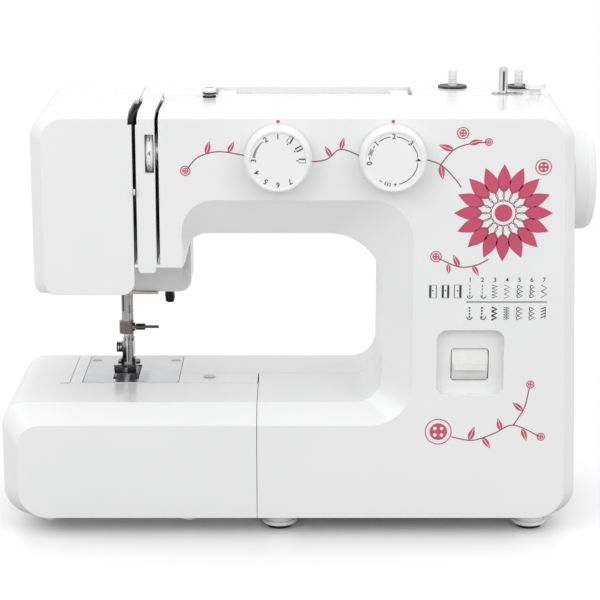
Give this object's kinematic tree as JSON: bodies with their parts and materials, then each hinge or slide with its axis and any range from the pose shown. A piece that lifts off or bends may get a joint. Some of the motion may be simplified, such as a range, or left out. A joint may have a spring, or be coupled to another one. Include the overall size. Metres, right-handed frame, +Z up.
{
  "type": "sewing machine",
  "caption": "Domestic free-arm sewing machine with front dials, hand wheel, thread slots, presser foot, reverse lever, spool pins and a slide-off extension table.",
  "frame": {"origin": "centre of the overall box on the plane the feet stand on", "axes": "+X to the right towards the hand wheel, +Y to the back, +Z up"},
  "size_m": [0.398, 0.15, 0.304],
  "materials": {
    "white_plastic": "gloss moulded plastic",
    "black_plastic": "satin moulded plastic",
    "felt": "pressed felt",
    "rubber": "moulded rubber",
    "chrome": "polished plating",
    "steel": "ground steel",
    "cast_alloy": "as cast",
    "painted_steel": "enamel",
    "bronze": "sintered",
    "nylon": "natural nylon",
    "lamp_glass": "clear bulb"
  },
  "bodies": {
    "housing": {"front_cover": "white_plastic", "rear_cover": "white_plastic", "face_cover": "white_plastic", "free_arm_cover": "white_plastic", "shuttle_door": "white_plastic", "base_plate": "painted_steel", "machine_frame": "cast_alloy", "bushes": "bronze", "motor_belt": "rubber", "timing_belt": "rubber", "motor": "painted_steel", "shuttle_race": "steel", "bobbin_case": "steel", "bobbin": "nylon", "needle_plate": "steel", "tension_post": "chrome", "tension_discs": "chrome", "pivot_pins": "steel", "spool_felt": "felt", "winder_stopper": "white_plastic", "thread_guides": "chrome", "head_bottom_plate": "steel", "lamp": "lamp_glass", "screws": "steel", "power_inlet": "black_plastic", "rubber_feet": "rubber"},
    "hand_wheel": {"hand_wheel": "white_plastic", "clutch_knob": "white_plastic", "upper_shaft": "steel", "shaft_pulleys": "nylon", "crank": "steel"},
    "motor_rotor": {"motor_pulley": "steel"},
    "lower_drive": {"lower_shaft": "steel"},
    "hook": {"shuttle_hook": "steel"},
    "needle_swing": {"needle_bar_bracket": "cast_alloy"},
    "needle_bar": {"needle_bar": "chrome", "needle_bar_link": "steel", "needle_clamp": "chrome", "clamp_screw": "chrome", "needle": "chrome"},
    "take_up": {"take_up_lever": "chrome"},
    "lifter": {"presser_lifter": "black_plastic"},
    "presser": {"presser_bar": "chrome", "foot_holder": "chrome", "foot_screw": "chrome"},
    "foot": {"presser_foot": "chrome"},
    "feed_rocker": {"feed_rocker": "steel"},
    "feed_dog": {"feed_dog": "steel"},
    "selector": {"selector_dial": "white_plastic"},
    "stitch_length": {"length_dial": "white_plastic"},
    "tension": {"tension_wheel": "white_plastic"},
    "reverse": {"reverse_lever": "white_plastic"},
    "winder": {"winder_arm": "steel"},
    "winder_spindle": {"winder_spindle": "chrome"},
    "left_spool": {"left_spool_pin": "white_plastic"},
    "right_spool": {"right_spool_pin": "white_plastic"},
    "handle": {"carrying_handle": "white_plastic"},
    "table": {"extension_table": "white_plastic"},
    "switch": {"power_switch": "black_plastic"}
  },
  "joints": [
    {"name": "hand_wheel_turn", "type": "hinge", "parent": "housing", "child": "hand_wheel", "pos_m": [0.19, 0.022, 0.2275], "axis": [1, 0, 0], "continuous": true},
    {"name": "motor_turn", "type": "hinge", "parent": "housing", "child": "motor_rotor", "pos_m": [0.12, -0.024, 0.062], "axis": [1, 0, 0], "continuous": true},
    {"name": "lower_shaft_turn", "type": "hinge", "parent": "housing", "child": "lower_drive", "pos_m": [0, 0.03, 0.052], "axis": [1, 0, 0], "continuous": true},
    {"name": "hook_rock", "type": "hinge", "parent": "housing", "child": "hook", "pos_m": [-0.1209, 0.02, 0.058], "axis": [0, 1, 0], "range_deg": [-100, 100]},
    {"name": "needle_swing", "type": "hinge", "parent": "housing", "child": "needle_swing", "pos_m": [-0.1209, 0.03, 0.26], "axis": [0, 1, 0], "range_deg": [-0.84, 0.84]},
    {"name": "needle_bar_stroke", "type": "slide", "parent": "needle_swing", "child": "needle_bar", "axis": [0, 0, 1], "range_m": [-0.018, 0.011]},
    {"name": "take_up_swing", "type": "hinge", "parent": "housing", "child": "take_up", "pos_m": [-0.1063, -0.005, 0.24], "axis": [-1, 0, 0], "range_deg": [-49.5, 30.25]},
    {"name": "presser_lift", "type": "hinge", "parent": "housing", "child": "lifter", "pos_m": [-0.0939, 0.058, 0.168], "axis": [0, -1, 0], "range_deg": [0, 70]},
    {"name": "presser_bar_slide", "type": "slide", "parent": "housing", "child": "presser", "axis": [0, 0, 1], "range_m": [0, 0.006]},
    {"name": "foot_tilt", "type": "hinge", "parent": "presser", "child": "foot", "pos_m": [-0.1209, 0.0305, 0.09775], "axis": [1, 0, 0], "range_deg": [-4, 4]},
    {"name": "feed_travel", "type": "slide", "parent": "housing", "child": "feed_rocker", "axis": [0, 1, 0], "range_m": [-0.002, 0.002]},
    {"name": "feed_drop", "type": "slide", "parent": "feed_rocker", "child": "feed_dog", "axis": [0, 0, 1], "range_m": [-0.0018, 0]},
    {"name": "selector_turn", "type": "hinge", "parent": "housing", "child": "selector", "pos_m": [-0.014, -0.07, 0.2572], "axis": [0, -1, 0], "continuous": true},
    {"name": "stitch_length_turn", "type": "hinge", "parent": "housing", "child": "stitch_length", "pos_m": [0.0594, -0.07, 0.2572], "axis": [0, -1, 0], "range_deg": [-95, 215]},
    {"name": "tension_turn", "type": "hinge", "parent": "housing", "child": "tension", "pos_m": [-0.0964, -0.046, 0.2595], "axis": [1, 0, 0], "range_deg": [-150, 150]},
    {"name": "reverse_press", "type": "hinge", "parent": "housing", "child": "reverse", "pos_m": [0.11185, -0.038, 0.118], "axis": [1, 0, 0], "range_deg": [0, 14], "stiffness_Nm_per_rad": 0.5},
    {"name": "winder_slide", "type": "slide", "parent": "housing", "child": "winder", "axis": [1, 0, 0], "range_m": [0, 0.006]},
    {"name": "winder_turn", "type": "hinge", "parent": "winder", "child": "winder_spindle", "pos_m": [0.1381, 0.028, 0.28], "axis": [0, 0, 1], "continuous": true},
    {"name": "left_spool_slide", "type": "slide", "parent": "housing", "child": "left_spool", "axis": [0, 0, 1], "range_m": [0, 0.032]},
    {"name": "right_spool_slide", "type": "slide", "parent": "housing", "child": "right_spool", "axis": [0, 0, 1], "range_m": [0, 0.032]},
    {"name": "handle_lift", "type": "hinge", "parent": "housing", "child": "handle", "pos_m": [0.007, 0.054, 0.2785], "axis": [-1, 0, 0], "range_deg": [0, 90]},
    {"name": "table_slide", "type": "slide", "parent": "housing", "child": "table", "axis": [-1, 0, 0], "range_m": [0, 0.18]},
    {"name": "power_rock", "type": "hinge", "parent": "housing", "child": "switch", "pos_m": [0.17838, -0.016, 0.062], "axis": [0, 1, 0], "range_deg": [-6, 6]}
  ],
  "couplings": [
    {"joint": "motor_turn", "follows": "hand_wheel_turn", "ratio": 3.233},
    {"joint": "lower_shaft_turn", "follows": "hand_wheel_turn", "ratio": 1},
    {"joint": "take_up_swing", "follows": "needle_bar_stroke", "rad_per_m": 48},
    {"joint": "presser_lift", "follows": "presser_bar_slide", "rad_per_m": 203.62}
  ]
}
